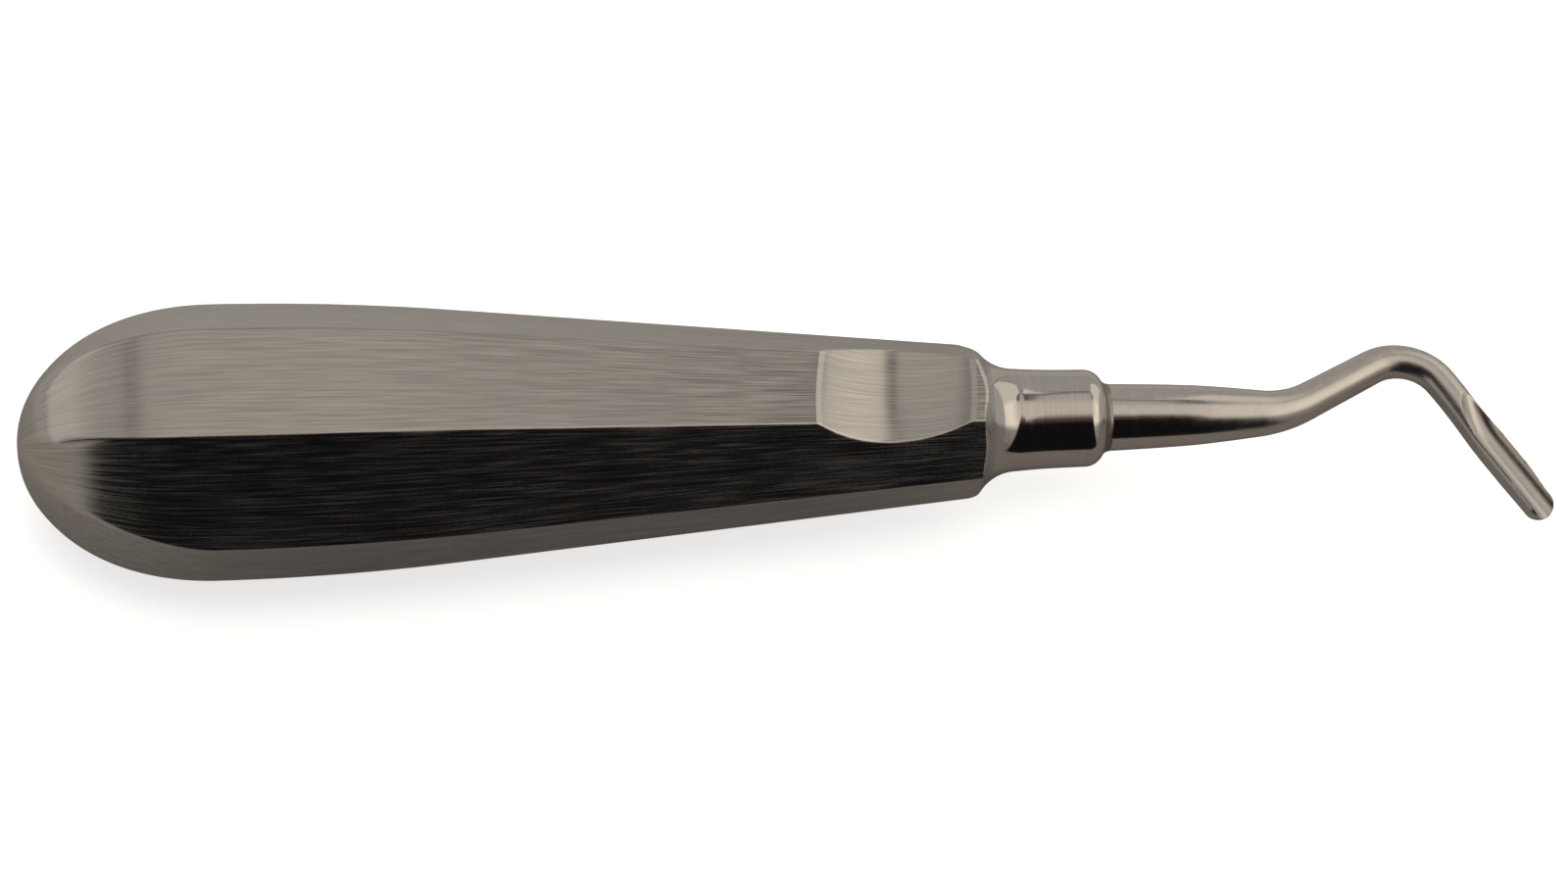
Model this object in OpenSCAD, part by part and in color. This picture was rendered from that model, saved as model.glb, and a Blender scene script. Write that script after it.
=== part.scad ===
// Dental elevator: hollow eight-sided handle, turned ferrule and one forging
// of tang, bent shank and fluted blade.
// Frame: origin at the centre of the ferrule's mouth, +X along the handle's
// axis towards the blade, +Z towards the side with the thumb rest. The shank
// bends in the XY plane, first to +Y and then back to -Y.

/* [Handle] */
// Length from the butt to the ferrule's mouth
handle_len = 105; // [95:0.5:115]
// Distance of the fattest section from the butt
belly_back = 18.7; // [16:0.1:22]
// Width over the side flats at the fattest section
belly_w = 26.5; // [23:0.1:30]
// Height over the top and bottom flats at the fattest section
belly_h = 24.5; // [21:0.1:27]
// Size over each pair of slanting flats at the fattest section
belly_d = 24.5; // [21:0.1:27]
// Width over the side flats at the neck
neck_w = 14.4; // [13.8:0.1:16]
// Height over the top and bottom flats at the neck
neck_h = 13.1; // [12.9:0.1:14.5]
// Size over each pair of slanting flats at the neck
neck_d = 13.6; // [13:0.1:15]
// Tilt of the slanting flats away from the top flat, in degrees
facet_angle = 50; // [44:0.5:54]
// Radius of the long curve between the fattest section and the taper
belly_r = 260; // [180:5:320]
// Radius of the butt's end between the two side flats
butt_r = 11.2; // [9:0.1:12]
// Wall of the two shells
wall = 1.2; // [0.8:0.05:1.6]
// Thickness of the shells' front wall, which holds the spigot
front_wall = 3.2; // [2:0.1:5]

/* [Thumb rest] */
// Length of the scoop along the top flat
dish_len = 15.2; // [10:0.1:18]
// Depth of the scoop
dish_depth = 1.7; // [0.8:0.05:2]
// Distance of the scoop's middle behind the mouth
dish_back = 21.1; // [20:0.1:26]
// Turn of the scoop about +Z, in degrees
dish_skew = 6; // [0:0.5:10]

/* [Seam weld] */
// Width of the weld bead on the parting line
seam_w = 0.8; // [0.4:0.05:1.2]
// Depth of the weld bead, less than the wall
seam_depth = 0.7; // [0.3:0.05:0.75]

/* [Ferrule] */
// Length of the plain collar, from the mouth to the start of the neck's fillet
collar_len = 8.6; // [7:0.1:11]
// Diameter of the collar at its rear end
collar_rear_d = 10; // [9:0.05:10.8]
// Diameter of the collar at its front end
collar_front_d = 9.5; // [8.6:0.05:10]
// Radius of the concave turned fillet between collar and flats
fillet_r = 4.7; // [4:0.1:5.2]
// Radius of the rounded mouth
mouth_r = 1.9; // [1:0.05:2.1]
// Diameter of the ferrule's flange, where the ring weld starts
flange_d = 12; // [11.4:0.05:12.1]
// Length of the flange, from its rear face to the neck
flange_len = 1.3; // [1:0.05:2]
// Radial width of the ring weld
ring_weld_w = 0.4; // [0.2:0.05:0.4]
// Depth of the ring weld's seat, measured from the flange's rear face
ring_weld_lift = 0.4; // [0.2:0.05:0.5]
// Diameter of the spigot inside the handle
spigot_d = 8; // [7.2:0.05:8.2]
// Length of the spigot behind the flange
spigot_len = 12; // [8:0.5:14]
// Radial clearance of the spigot in the shells' front wall
spigot_clear = 0.05; // [0.02:0.01:0.1]

/* [Shank] */
// Diameter of the shank's root at the mouth
root_d = 6.6; // [6:0.05:7]
// Depth of the root's seat in the ferrule
root_seat = 5; // [3:0.1:7]
// Diameter of the tang
tang_d = 4.8; // [4:0.05:5.4]
// Length of the tang behind the root
tang_len = 15; // [10:0.5:17]
// Depth of the flat that keys the tang against turning
tang_flat = 0.6; // [0.3:0.05:1]
// Radial gap around tang and root, filled by the braze
braze_gap = 0.05; // [0.02:0.01:0.1]
// Radius of the braze fillet at the mouth
braze_r = 1; // [0.6:0.05:1.4]
// Depth of the well round the root that the braze fills
braze_well = 1.2; // [0.8:0.1:2]
// Distance of the first bend's corner ahead of the mouth
bend1_ahead = 18.2; // [16:0.1:22]
// Radius of the first bend's centreline
bend1_r = 11.3; // [8:0.1:13]
// Rise of the middle limb towards +Y, in degrees
rise_angle = 27.5; // [20:0.5:35]
// Length of the middle limb between the two corners
limb_len = 15; // [14:0.1:18]
// Radius of the second bend's centreline
bend2_r = 4.9; // [4.2:0.1:6]
// Fall of the blade towards -Y, in degrees
fall_angle = 59.4; // [50:0.2:68]
// Diameter of the shank through the first bend
bend1_d = 4.2; // [3.8:0.05:4.6]
// Diameter of the shank through the second bend
bend2_d = 3.35; // [3.2:0.05:3.6]
// Diameter of the waist behind the blade
waist_d = 3.05; // [2.9:0.05:3.2]
// Distance of the waist past the second bend
waist_ahead = 1.6; // [1:0.1:2]

/* [Blade] */
// Length from the second bend's corner to the tip
blade_len = 22.3; // [20:0.1:26]
// Diameter of the blade's rod
blade_d = 3.2; // [3:0.05:3.4]
// Length of the flute from the tip, with its run-out
flute_len = 14.8; // [10:0.1:15]
// Half width of the flute where its edges meet the rod
flute_half_w = 1.4; // [1.2:0.01:1.46]
// Depth of the flute below its edges
flute_depth = 0.9; // [0.5:0.05:1]
// Radius of the run-out where the flute rises to the rod's surface
runout_r = 9; // [5:0.5:12]
// Turn of the flute from +Z to the outer side of the bend, in degrees
flute_turn = 18; // [0:1:45]

/* [Hidden] */
$fn = 96;
long_arc_fn = 720;
// larger than any section, for cutting blocks
reach = 60;
// cutters start and end this far outside what they cut
beyond = 1;
// length by which joined shapes run into each other
arc_lap = 4;
bar_lap = 0.2;
// each tighter arc stands this much proud of the next, so that they cross
proud = 0.005;
// height of the end arcs that the butt's small end flat takes off
butt_flat = 0.1;
// a surface stands back this much from the one that it runs on from
bar_shy = 0.04;
// where two arcs meet at a tangent, the feather edge is cut back this much
feather = 0.1;
// the flats and the ring weld's seat run this far past the neck
neck_lap = 0.5;
// length over which the rod reaches its full width, past the flute's start
swell_in = 1;
// share by which the run-out's cutter turns on past the rod's surface
run_on = 1.5;

// places along the handle's axis
butt_x = -handle_len;
belly_x = butt_x + belly_back;
fillet_x = -collar_len;
// the neck's sizes are taken where the fillet is as wide as the flange
neck_x = fillet_x - sqrt(pow(fillet_r, 2) - pow(fillet_r + collar_rear_d / 2 - flange_d / 2, 2));
// the flats run on past the neck, and the fillet cuts their ends
flats_front_x = neck_x + neck_lap;
flange_x = neck_x - flange_len;
cavity_x = flange_x - front_wall;

// the thumb rest is part of a cylinder
dish_r = (pow(dish_len / 2, 2) + pow(dish_depth, 2)) / (2 * dish_depth);

// the collar and its mouth
collar_front_r = collar_front_d / 2;
collar_rear_r = collar_rear_d / 2;
mouth_centre = [collar_front_r - mouth_r, -mouth_r];
flange_r = flange_d / 2;

// the braze fillet touches the mouth's curve and the shank's root
root_r = root_d / 2;
braze_reach = mouth_r + braze_r;
braze_out = root_r + braze_r - mouth_centre[0];
braze_centre = mouth_centre + [braze_out, sqrt(pow(braze_reach, 2) - pow(braze_out, 2))];
braze_well_r = mouth_centre[0] + braze_out * mouth_r / braze_reach - feather;

// the shank's centreline
bend1_tangent = bend1_r * tan(rise_angle / 2);
bend2_angle = rise_angle + fall_angle;
bend2_tangent = bend2_r * tan(bend2_angle / 2);
bend1_corner = [bend1_ahead, 0];
bend2_corner = bend1_corner + limb_len * [cos(rise_angle), sin(rise_angle)];
root_taper_len = bend1_ahead - bend1_tangent;
// the root's outline is one arc that starts level at the mouth
root_drop = root_r - bend1_d / 2;
root_arc_r = (pow(root_taper_len, 2) + pow(root_drop, 2)) / (2 * root_drop);

// the flute's cutter is a cylinder
blade_r = blade_d / 2;
flute_r = (pow(flute_half_w, 2) + pow(flute_depth, 2)) / (2 * flute_depth);
flute_edge_lift = sqrt(pow(blade_r, 2) - pow(flute_half_w, 2));
flute_axis_lift = flute_edge_lift - flute_depth + flute_r;
// the run-out climbs from the flute's floor to the rod's surface
runout_angle = acos(1 - (blade_r - flute_axis_lift + flute_r) / (runout_r + flute_r));
runout_len = (runout_r + flute_r) * sin(runout_angle);
flute_start = blade_len - flute_len;

// slope of a flat from the belly's curve to the neck, in degrees
function taper(belly, neck) =
    let (run = neck_x - belly_x, drop = neck - belly + belly_r)
    atan2(run, drop) - acos(belly_r / norm([run, drop]));

// two arcs back to back about the fattest section
module lens(half, radius) {
    intersection_for (side = [-1, 1])
        translate([belly_x, side * (radius - half)])
            circle(r = radius, $fn = long_arc_fn);
}

// the part of a 2D shape between two places along the axis
module between(x0, x1) {
    intersection() {
        children();
        translate([x0, -reach])
            square([x1 - x0, 2 * reach]);
    }
}

// side view between two opposite flats: taper, belly, shoulder and butt
module flats_outline(belly, neck, inset) {
    slope = taper(belly, neck);
    arc = belly_r - inset;
    taper_x = belly_x + arc * sin(slope);
    taper_half = belly - belly_r + arc * cos(slope) - proud;
    front_half = taper_half - (flats_front_x - taper_x) * tan(slope);
    end_r = butt_r * 2 * belly / belly_w;
    end_run = belly_back + butt_flat - end_r;
    shoulder_r = (pow(belly, 2) + pow(end_run, 2) - pow(end_r, 2)) / (2 * (belly - end_r));
    join_x = belly_x - (shoulder_r - inset) * end_run / (shoulder_r - end_r);
    polygon([[taper_x, -taper_half], [flats_front_x, -front_half],
             [flats_front_x, front_half], [taper_x, taper_half]]);
    between(belly_x, taper_x + arc_lap)
        lens(belly - inset, arc);
    between(join_x, belly_x + arc_lap)
        lens(belly - inset + proud, shoulder_r - inset + proud);
    between(butt_x + inset, join_x + arc_lap)
        translate([belly_x - end_run, 0])
            circle(r = end_r - inset + 2 * proud);
}

// space between two opposite flats whose normal leans from +Z by an angle
module flat_pair(angle, belly, neck, inset) {
    rotate([angle + 90, 0, 0])
        linear_extrude(height = reach, center = true)
            flats_outline(belly / 2, neck / 2, inset);
}

// the eight-sided handle, or the same form with every face moved inwards
module handle_form(inset = 0) {
    intersection() {
        flat_pair(0, belly_h, neck_h, inset);
        flat_pair(90, belly_w, neck_w, inset);
        flat_pair(facet_angle, belly_d, neck_d, inset);
        flat_pair(-facet_angle, belly_d, neck_d, inset);
    }
}

// scoop of the thumb rest, or the metal left under it
module dish_cutter(extra = 0) {
    slope = taper(belly_h / 2, neck_h / 2);
    chord_z = neck_h / 2 + (dish_back + neck_x) * tan(slope);
    lift = dish_r - dish_depth;
    translate([-dish_back + lift * sin(slope), 0, chord_z + lift * cos(slope)])
        rotate([90, 0, -dish_skew])
            cylinder(r = dish_r + extra, h = reach, center = true);
}

// solid of revolution about +X of an outline in [radius, x]
module turned() {
    rotate([0, 90, 0])
        rotate_extrude()
            children();
}

// section of the tool that turns the concave neck
module fillet_2d() {
    translate([collar_rear_r + fillet_r, fillet_x])
        circle(r = fillet_r);
}

// section of the ring weld's seat, open towards the neck
module ring_weld_seat_2d() {
    translate([flange_r, flange_x + ring_weld_lift])
        square([ring_weld_w, neck_x - flange_x - ring_weld_lift + neck_lap]);
}

// the bead's own space: a slab on the parting plane, less what lies deeper
module seam_space() {
    difference() {
        translate([butt_x - beyond, -reach / 2, -seam_w / 2])
            cube([handle_len, reach, seam_w]);
        handle_form(seam_depth);
    }
}

// the handle's outside after turning and scooping
module handle_outside() {
    difference() {
        handle_form();
        dish_cutter();
        turned()
            fillet_2d();
        turned() {
            translate([0, flange_x])
                square([flange_r, reach]);
            ring_weld_seat_2d();
        }
    }
}

// the hollow inside, kept a wall away from the thumb rest
module handle_inside() {
    difference() {
        handle_form(wall);
        dish_cutter(wall);
        translate([cavity_x, -reach / 2, -reach / 2])
            cube(reach);
    }
}

// both shells in one piece, before they are parted
module handle_walls() {
    difference() {
        handle_outside();
        handle_inside();
        seam_space();
        translate([flange_x - spigot_len - beyond, 0, 0])
            rotate([0, 90, 0])
                cylinder(d = spigot_d + 2 * spigot_clear, h = spigot_len + 2 * beyond);
    }
}

// one half of a piece: side 1 above the parting plane, side -1 below it
module half(side) {
    intersection() {
        children();
        translate([butt_x - beyond, -reach / 2, side > 0 ? 0 : -reach])
            cube([handle_len, reach, reach]);
    }
}

module handle_shell_upper() {
    color("#c9c6c0")
        half(1)
            handle_walls();
}

module handle_shell_lower() {
    color("#bdbab4")
        half(-1)
            handle_walls();
}

// bead round both sides and the butt, ground flush
module shell_seam_weld() {
    color("#a8a49c")
        intersection() {
            handle_outside();
            seam_space();
        }
}

// ring bead between ferrule and shells, turned flush with the fillet
module ferrule_weld() {
    color("#a8a49c")
        turned()
            difference() {
                ring_weld_seat_2d();
                fillet_2d();
            }
}

// outline of the ferrule, without its bores
module ferrule_2d() {
    difference() {
        polygon([[0, flange_x], [flange_r, flange_x], [flange_r, fillet_x],
                 [collar_rear_r, fillet_x], [collar_front_r, -mouth_r], [0, -mouth_r]]);
        fillet_2d();
    }
    // rounded mouth
    intersection() {
        translate(mouth_centre)
            circle(r = mouth_r);
        translate([mouth_centre[0], -mouth_r])
            square(mouth_r);
    }
    translate([0, -mouth_r])
        square([mouth_centre[0], mouth_r]);
    // spigot
    translate([0, flange_x - spigot_len])
        square([spigot_d / 2, spigot_len]);
}

// tang and root, or the bore that takes them with a gap all round
module tang(gap = 0) {
    tang_r = tang_d / 2 + gap;
    translate([-root_seat - gap, 0, 0])
        rotate([0, 90, 0])
            cylinder(r = root_r + gap, h = root_seat + gap + (gap > 0 ? beyond : 0));
    difference() {
        translate([-root_seat - tang_len - gap, 0, 0])
            rotate([0, 90, 0])
                cylinder(r = tang_r, h = tang_len + gap);
        translate([-root_seat - tang_len - beyond, -tang_d, tang_r - tang_flat])
            cube([tang_len + beyond - gap, 2 * tang_d, tang_d]);
    }
}

module ferrule() {
    color("#d2d0cc")
        difference() {
            turned()
                ferrule_2d();
            tang(braze_gap);
            translate([-braze_well, 0, 0])
                rotate([0, 90, 0])
                    cylinder(r = braze_well_r, h = braze_well + beyond);
        }
}

// braze in its well, with the concave fillet that blends mouth and root
module braze_ring() {
    color("#b9a98a")
        turned()
            difference() {
                translate([root_r, -braze_well])
                    square([braze_well_r - root_r, braze_well + braze_centre[1] - feather]);
                translate(braze_centre)
                    circle(r = braze_r);
            }
}

// round bar bent about +Z, from the origin towards +X; turn is +1 for left
module bend(diameter, radius, angle, turn) {
    translate([0, turn * radius, 0])
        rotate([0, 0, turn > 0 ? -90 : 90 - angle])
            rotate_extrude(angle = angle)
                translate([radius, 0])
                    circle(d = diameter);
}

// root between mouth and first bend, with its arched taper
module root() {
    turned()
        intersection() {
            translate([root_r - bar_shy - root_arc_r, 0])
                circle(r = root_arc_r, $fn = long_arc_fn);
            translate([0, -bar_lap])
                square([root_d, root_taper_len + 2 * bar_lap]);
        }
}

// middle limb between the two bends
module limb() {
    turned()
        polygon([[0, bend1_tangent - bar_lap], [bend1_d / 2 - bar_shy, bend1_tangent - bar_lap],
                 [bend2_d / 2 - bar_shy, limb_len - bend2_tangent + bar_lap],
                 [0, limb_len - bend2_tangent + bar_lap]]);
}

// cutter for the flute, in the blade's frame with its rod along +X
module flute_cutter() {
    ramp_x = flute_start + runout_len;
    rotate([-flute_turn, 0, 0]) {
        translate([ramp_x - bar_lap, 0, flute_axis_lift])
            rotate([0, 90, 0])
                cylinder(r = flute_r - bar_shy, h = flute_len);
        translate([ramp_x, 0, flute_axis_lift + runout_r])
            rotate([90, 0, 0])
                rotate([0, 0, -90 - runout_angle * run_on])
                    rotate_extrude(angle = runout_angle * run_on)
                        translate([runout_r, 0])
                            circle(r = flute_r);
    }
}

// fluted rod with a waist and a round tip, along +X from the second bend's corner
module blade() {
    rear_x = bend2_tangent - bar_lap;
    waist_x = bend2_tangent + waist_ahead;
    tip_x = blade_len - blade_r;
    difference() {
        turned() {
            polygon([[0, rear_x], [bend2_d / 2 - bar_shy, rear_x], [waist_d / 2, waist_x],
                     [blade_r, flute_start + swell_in], [blade_r, tip_x], [0, tip_x]]);
            intersection() {
                translate([0, tip_x])
                    circle(r = blade_r);
                translate([0, tip_x])
                    square(blade_r);
            }
        }
        flute_cutter();
    }
}

module shank_blade() {
    color("#cfcdc9") {
        tang();
        root();
        translate([root_taper_len, 0, 0])
            bend(bend1_d, bend1_r, rise_angle, 1);
        translate(bend1_corner)
            rotate([0, 0, rise_angle]) {
                limb();
                translate([limb_len - bend2_tangent, 0, 0])
                    bend(bend2_d, bend2_r, bend2_angle, -1);
            }
        translate(bend2_corner)
            rotate([0, 0, -fall_angle])
                blade();
    }
}

handle_shell_upper();
handle_shell_lower();
shell_seam_weld();
ferrule();
ferrule_weld();
braze_ring();
shank_blade();
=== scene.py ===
import logging
import math
from dataclasses import dataclass, field, replace
from enum import Enum
from typing import Callable, Iterable, Optional

import bmesh
import bpy
from mathutils import Matrix, Vector


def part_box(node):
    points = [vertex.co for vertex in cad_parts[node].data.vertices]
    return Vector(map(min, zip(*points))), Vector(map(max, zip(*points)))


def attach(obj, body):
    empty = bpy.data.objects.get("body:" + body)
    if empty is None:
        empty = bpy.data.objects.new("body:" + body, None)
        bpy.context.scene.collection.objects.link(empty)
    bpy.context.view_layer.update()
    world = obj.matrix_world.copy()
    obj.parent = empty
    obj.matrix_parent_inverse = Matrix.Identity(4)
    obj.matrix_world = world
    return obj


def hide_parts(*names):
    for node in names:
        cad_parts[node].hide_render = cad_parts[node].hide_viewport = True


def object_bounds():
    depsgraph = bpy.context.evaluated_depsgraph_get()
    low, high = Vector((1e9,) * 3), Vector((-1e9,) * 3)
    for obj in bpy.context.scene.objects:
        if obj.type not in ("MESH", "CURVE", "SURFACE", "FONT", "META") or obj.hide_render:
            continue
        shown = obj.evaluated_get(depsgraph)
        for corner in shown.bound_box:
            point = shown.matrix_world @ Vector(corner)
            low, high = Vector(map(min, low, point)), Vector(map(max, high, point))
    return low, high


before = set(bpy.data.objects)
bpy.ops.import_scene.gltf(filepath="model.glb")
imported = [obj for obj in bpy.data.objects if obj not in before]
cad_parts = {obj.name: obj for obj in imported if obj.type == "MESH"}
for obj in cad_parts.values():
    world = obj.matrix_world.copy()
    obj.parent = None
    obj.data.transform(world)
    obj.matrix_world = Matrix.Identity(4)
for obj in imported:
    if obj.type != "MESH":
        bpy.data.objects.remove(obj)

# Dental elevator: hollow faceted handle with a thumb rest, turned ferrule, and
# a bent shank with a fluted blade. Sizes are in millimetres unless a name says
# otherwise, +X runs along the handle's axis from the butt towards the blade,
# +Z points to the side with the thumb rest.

LOG = logging.getLogger("dental_elevator")
MM = 0.001
ROOT = "root"
SHARP_TURN = math.radians(32)
CAD_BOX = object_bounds()

Point2 = tuple[float, float]
Section = list[Point2]
Triple = tuple[float, float, float]


class Mark(Enum):
    """The way in which the tool marks of a finish run."""

    LENGTHWISE = "lengthwise"
    ROUND = "round"
    NONE = "none"


# ---------------------------------------------------------------- small sums


def smooth_min(a: float, b: float, blend: float) -> float:
    """Takes the lower of two heights, with the corner between them rounded.

    Args:
        a: First height.
        b: Second height.
        blend: Difference in height within which the corner is rounded.

    Returns:
        The rounded minimum.
    """
    if blend <= 0 or abs(a - b) >= blend:
        return min(a, b)
    near = (blend - abs(a - b)) / blend
    return min(a, b) - near * near * blend / 4


def ease(value: float) -> float:
    """Runs smoothly from 0 to 1 as the value does, and stays there outside."""
    value = min(max(value, 0.0), 1.0)
    return value * value * (3 - 2 * value)


def spread(start: float, end: float, step: float) -> list[float]:
    """Divides a stretch evenly, without its end.

    Args:
        start: First place.
        end: Place where the next stretch takes over.
        step: Largest distance between two places.

    Returns:
        The places from start to just before end.
    """
    count = max(1, math.ceil(abs(end - start) / step))
    return [start + (end - start) * i / count for i in range(count)]


def arc(centre: Point2, radius: float, start: float, end: float, count: int) -> Section:
    """Draws an arc in a plane.

    Args:
        centre: Centre of the arc.
        radius: Radius of the arc.
        start: Angle of the first point, in degrees.
        end: Angle of the last point, in degrees.
        count: Number of segments.

    Returns:
        The arc's points, both ends among them.
    """
    points = []
    for i in range(count + 1):
        turn = math.radians(start + (end - start) * i / count)
        points.append((centre[0] + radius * math.cos(turn), centre[1] + radius * math.sin(turn)))
    return points


def through(stations: list[Point2], place: float) -> float:
    """Reads a size off a smooth curve through a few stations.

    Args:
        stations: Place and size of each station, in order.
        place: Where the size is wanted.

    Returns:
        The size there, constant outside the first and last station.
    """
    if place <= stations[0][0]:
        return stations[0][1]
    if place >= stations[-1][0]:
        return stations[-1][1]
    i = next(k for k in range(len(stations) - 1) if place < stations[k + 1][0])

    def slope(k: int) -> float:
        """Slope of the curve at a station."""
        if k == 0 or k == len(stations) - 1:
            return 0.0
        before = (stations[k][1] - stations[k - 1][1]) / (stations[k][0] - stations[k - 1][0])
        after = (stations[k + 1][1] - stations[k][1]) / (stations[k + 1][0] - stations[k][0])
        return 0.0 if before * after <= 0 else 2 * before * after / (before + after)

    run = stations[i + 1][0] - stations[i][0]
    t = (place - stations[i][0]) / run
    return (
        stations[i][1] * (1 + 2 * t) * (1 - t) ** 2
        + slope(i) * run * t * (1 - t) ** 2
        + stations[i + 1][1] * t * t * (3 - 2 * t)
        + slope(i + 1) * run * t * t * (t - 1)
    )


# ------------------------------------------------------------- mesh building


def wrap_grid(along: int, around: int, place: Callable[[int, int], Vector]) -> bmesh.types.BMesh:
    """Wraps a grid into a closed skin.

    Args:
        along: Number of rows less one, from the first pole to the last.
        around: Number of columns; the last one is welded to the first.
        place: Gives the place of a row and column, in millimetres.

    Returns:
        The skin, welded at its seam and poles, in metres.
    """
    bm = bmesh.new()
    bmesh.ops.create_grid(bm, x_segments=along, y_segments=around, size=1)
    for vert in bm.verts:
        row = round((vert.co.x + 1) / 2 * along)
        column = round((vert.co.y + 1) / 2 * around) % around
        vert.co = place(row, column) * MM
    bmesh.ops.remove_doubles(bm, verts=bm.verts, dist=1e-7)
    bmesh.ops.dissolve_degenerate(bm, dist=1e-8, edges=bm.edges)
    bmesh.ops.recalc_face_normals(bm, faces=bm.faces)
    return bm


def turn_outline(outline: Section, steps: int) -> bmesh.types.BMesh:
    """Turns a closed outline about the X axis.

    Args:
        outline: Points as distance along the axis and radius.
        steps: Number of steps in the full turn.

    Returns:
        The turned ring, in metres.
    """
    bm = bmesh.new()
    verts = [bm.verts.new(Vector((x, 0, radius)) * MM) for x, radius in outline]
    edges = [bm.edges.new((a, b)) for a, b in zip(verts, verts[1:] + verts[:1])]
    bmesh.ops.spin(
        bm, geom=verts + edges, cent=(0, 0, 0), axis=(1, 0, 0), angle=math.tau, steps=steps,
        use_merge=True, use_duplicate=False,
    )
    bmesh.ops.remove_doubles(bm, verts=bm.verts, dist=1e-7)
    bmesh.ops.recalc_face_normals(bm, faces=bm.faces)
    return bm


def slice_off(bm: bmesh.types.BMesh, height: float, keep_above: bool) -> None:
    """Cuts a closed mesh at a level plane and fills the cut.

    The fill is not sound where the rim has very short edges: some faces of the
    cut are missing or turned.

    Args:
        bm: The mesh.
        height: Height of the plane, in millimetres.
        keep_above: True keeps what is above the plane, False what is below.
    """
    cut = bmesh.ops.bisect_plane(
        bm, geom=bm.verts[:] + bm.edges[:] + bm.faces[:], dist=1e-8,
        plane_co=(0, 0, height * MM), plane_no=(0, 0, 1),
        clear_outer=not keep_above, clear_inner=keep_above,
    )
    rim = [part for part in cut["geom_cut"] if isinstance(part, bmesh.types.BMEdge)]
    bmesh.ops.triangle_fill(bm, use_beauty=True, use_dissolve=False, edges=rim)
    bmesh.ops.recalc_face_normals(bm, faces=bm.faces)


def place_object(name: str, data: bpy.types.ID) -> bpy.types.Object:
    """Adds an object with this data to the scene."""
    thing = bpy.data.objects.new(name, data)
    bpy.context.scene.collection.objects.link(thing)
    return thing


def make_piece(name: str, bm: bmesh.types.BMesh) -> bpy.types.Object:
    """Turns a finished mesh into an object with smooth flanks and sharp rims.

    Args:
        name: Name of the piece.
        bm: Its mesh, in metres; it is freed.

    Returns:
        The object, at the origin.
    """
    for face in bm.faces:
        face.smooth = True
    for edge in bm.edges:
        edge.smooth = edge.is_manifold and edge.calc_face_angle(0) < SHARP_TURN
    mesh = bpy.data.meshes.new(name)
    bm.to_mesh(mesh)
    bm.free()
    return place_object(name, mesh)


# ------------------------------------------------------------------ finishes


class Nodes:
    """A material's or the world's node tree, with short ways to add nodes."""

    def __init__(self, tree: bpy.types.NodeTree) -> None:
        """Starts with an empty tree."""
        self.tree = tree
        tree.nodes.clear()

    def add(self, kind: str, **settings: object) -> bpy.types.Node:
        """Adds a node.

        Args:
            kind: Type name of the node.
            settings: Properties to set on it.

        Returns:
            The node.
        """
        node = self.tree.nodes.new(kind)
        for key, value in settings.items():
            setattr(node, key, value)
        return node

    def link(self, source: object, target: bpy.types.NodeSocket) -> None:
        """Links a socket to another, or sets a plain value or an opaque colour on it."""
        if isinstance(source, bpy.types.NodeSocket):
            self.tree.links.new(source, target)
        elif isinstance(source, tuple):
            target.default_value = (*source, 1.0)
        else:
            target.default_value = source

    def math(self, operation: str, a: object, b: object = 0.0,
             clamp: bool = False) -> bpy.types.NodeSocket:
        """Adds a sum.

        Args:
            operation: Name of the operation.
            a: First socket or value.
            b: Second socket or value.
            clamp: Whether the result is kept between 0 and 1.

        Returns:
            The result's socket.
        """
        node = self.add("ShaderNodeMath", operation=operation, use_clamp=clamp)
        self.link(a, node.inputs[0])
        self.link(b, node.inputs[1])
        return node.outputs[0]

    def finish(self, kind: str, surface: bpy.types.NodeSocket) -> None:
        """Links the finished surface to a new output node of this kind."""
        self.link(surface, self.add(kind).inputs["Surface"])

    def plus(self, a: object, b: object) -> bpy.types.NodeSocket:
        """Adds two sockets or values."""
        return self.math("ADD", a, b)

    def minus(self, a: object, b: object) -> bpy.types.NodeSocket:
        """Takes the second socket or value from the first."""
        return self.math("SUBTRACT", a, b)

    def times(self, a: object, b: object) -> bpy.types.NodeSocket:
        """Multiplies two sockets or values."""
        return self.math("MULTIPLY", a, b)

    def ramp(self, value: object, low: float, high: float, out_low: float = 0.0,
             out_high: float = 1.0) -> bpy.types.NodeSocket:
        """Maps a stretch of values smoothly onto another.

        Args:
            value: Socket to read.
            low: Value that gives out_low.
            high: Value that gives out_high.
            out_low: Result at and before low.
            out_high: Result at and past high.

        Returns:
            The result's socket.
        """
        node = self.add("ShaderNodeMapRange", interpolation_type="SMOOTHSTEP")
        self.link(value, node.inputs["Value"])
        limits = {"From Min": low, "From Max": high, "To Min": out_low, "To Max": out_high}
        for name, number in limits.items():
            node.inputs[name].default_value = number
        return node.outputs[0]

    def mix(self, share: object, first: object, second: object) -> bpy.types.NodeSocket:
        """Mixes two colours.

        Args:
            share: Share of the second colour, as a socket or value.
            first: First colour or socket.
            second: Second colour or socket.

        Returns:
            The mixed colour's socket.
        """
        node = self.add("ShaderNodeMix", data_type="RGBA")
        self.link(share, node.inputs[0])
        self.link(first, node.inputs[6])
        self.link(second, node.inputs[7])
        return node.outputs[2]


def new_material(name: str) -> tuple[bpy.types.Material, Nodes]:
    """Makes a material, and gives it with its empty tree."""
    material = bpy.data.materials.new(name)
    material.use_nodes = True
    return material, Nodes(material.node_tree)


@dataclass(frozen=True)
class Flats:
    """One pair of opposite flats: half sizes at the belly and the neck, and how the butt closes."""

    belly: float
    neck: float
    end_start: float
    end_round: float


TOP_FLATS = Flats(12.25, 6.55, 2.31, 2.16)
# length over which the flats curve ahead of the belly before they run straight
TAPER_RUN = 23.4
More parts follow.
